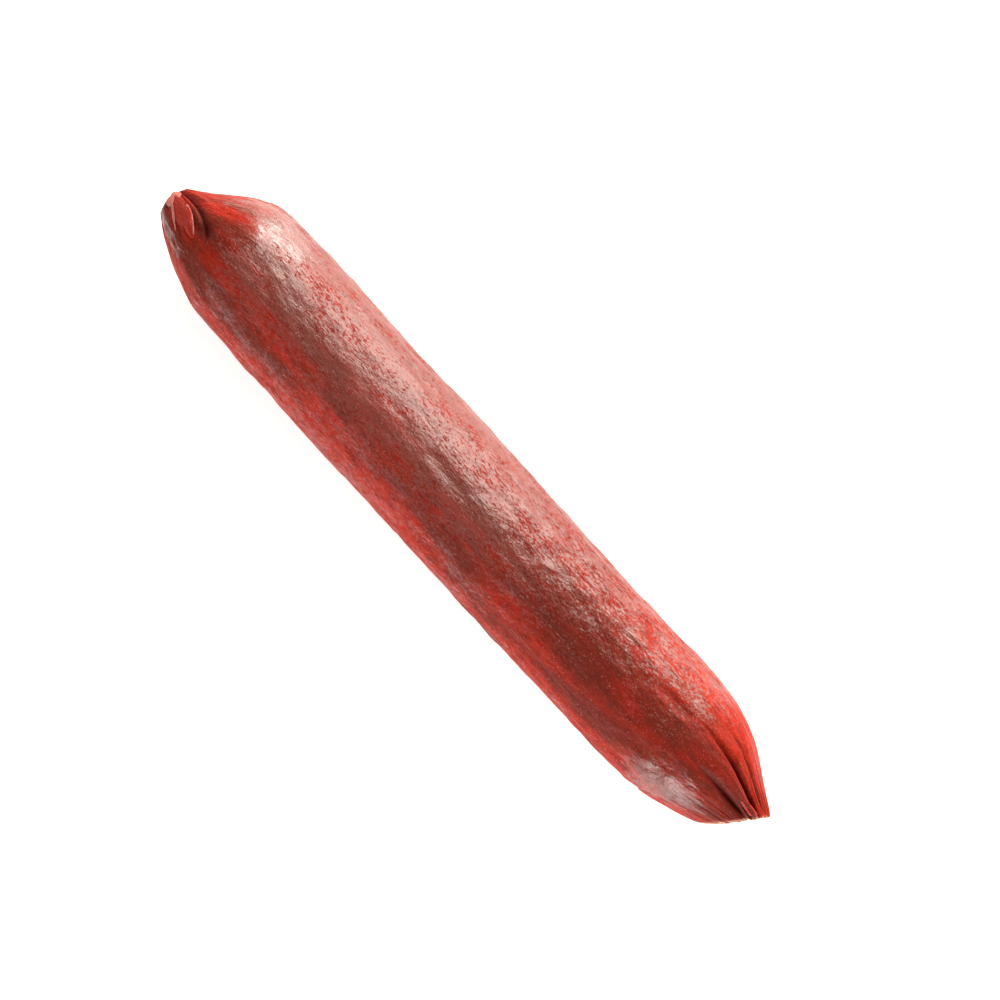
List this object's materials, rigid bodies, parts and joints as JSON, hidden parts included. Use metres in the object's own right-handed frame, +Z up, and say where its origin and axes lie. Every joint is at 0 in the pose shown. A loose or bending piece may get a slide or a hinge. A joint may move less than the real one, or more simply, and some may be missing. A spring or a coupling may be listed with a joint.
{
  "type": "cured sausage",
  "caption": "Smoked cured sausage in its casing, lying on its side, with one twisted and tucked end and one pleated, cut end.",
  "frame": {"origin": "middle of the footprint, on the surface that the sausage lies on", "axes": "+X along the sausage towards its pleated, cut end, +Z up, and the body bows slightly towards -Y"},
  "size_m": [0.149, 0.0242, 0.0237],
  "materials": {
    "smoked_casing": "satin"
  },
  "bodies": {
    "root": {"cured_sausage": "smoked_casing"}
  },
  "joints": []
}
